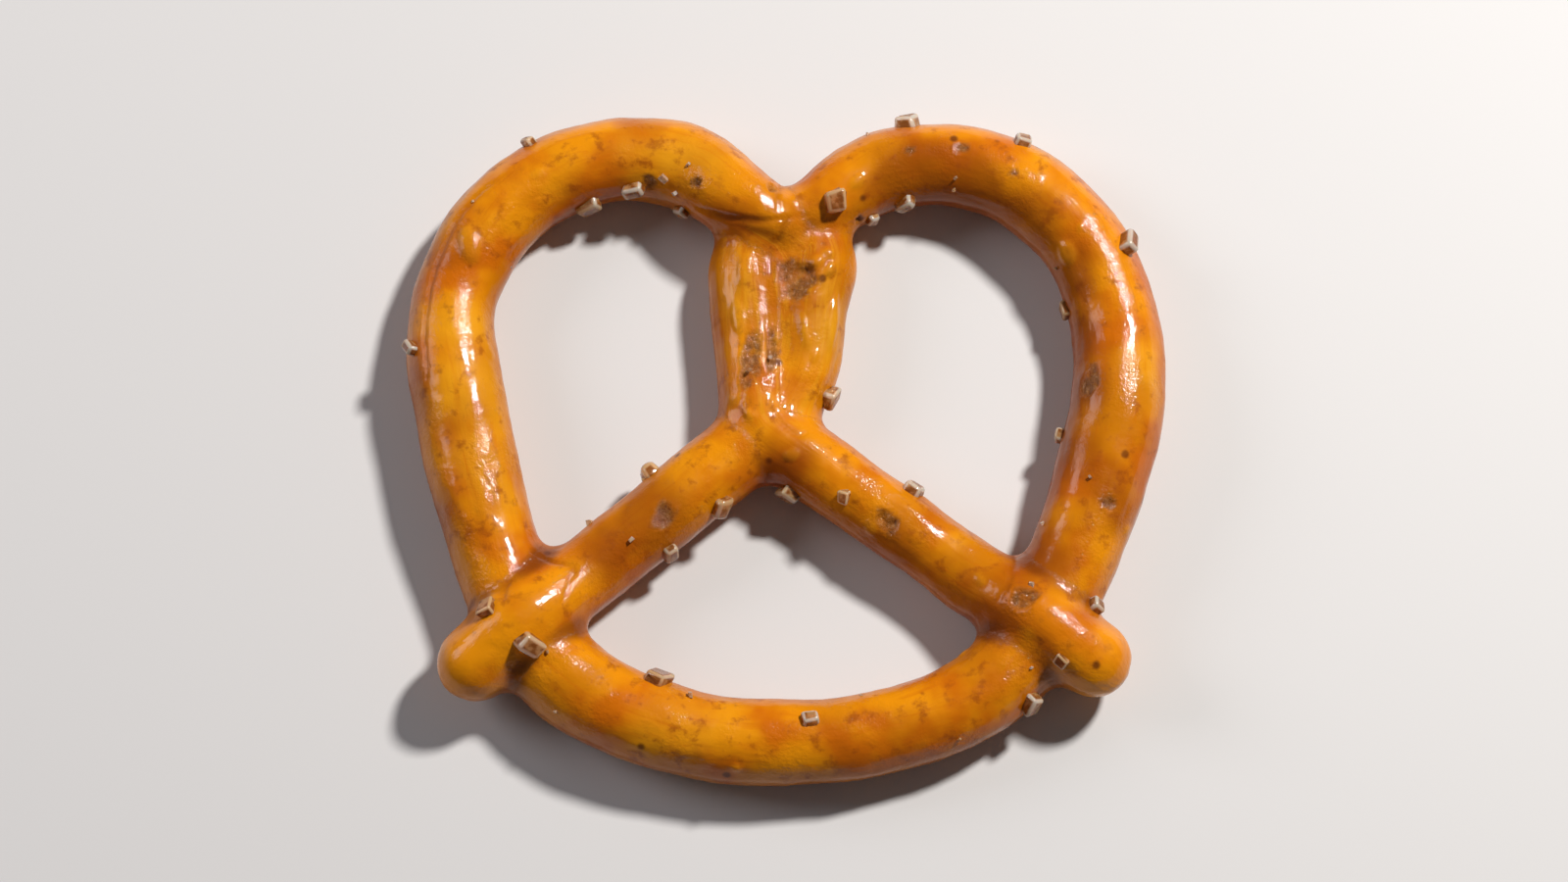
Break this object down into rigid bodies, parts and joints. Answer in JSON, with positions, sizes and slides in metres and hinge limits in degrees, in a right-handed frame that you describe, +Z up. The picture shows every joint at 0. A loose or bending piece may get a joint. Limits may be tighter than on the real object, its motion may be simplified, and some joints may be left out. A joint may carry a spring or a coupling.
{
  "type": "salted mini pretzel",
  "caption": "Small hard baked pretzel: one twisted dough rope with two lobes, a fused middle column, a rounded belly and coarse salt grains; a snack.",
  "frame": {"origin": "middle of the bounding box in X and Y, at the height of the surface that the pretzel lies on", "axes": "+X to the right across the two lobes, +Y from the belly towards the lobes, +Z up, out of the side that shows the crossings"},
  "size_m": [0.0548, 0.0492, 0.0078],
  "materials": {
    "crust": "glossy golden-brown baked crust",
    "salt": "coarse translucent white salt grains, fused to the crust"
  },
  "bodies": {
    "root": {"pretzel": "crust"}
  },
  "joints": []
}
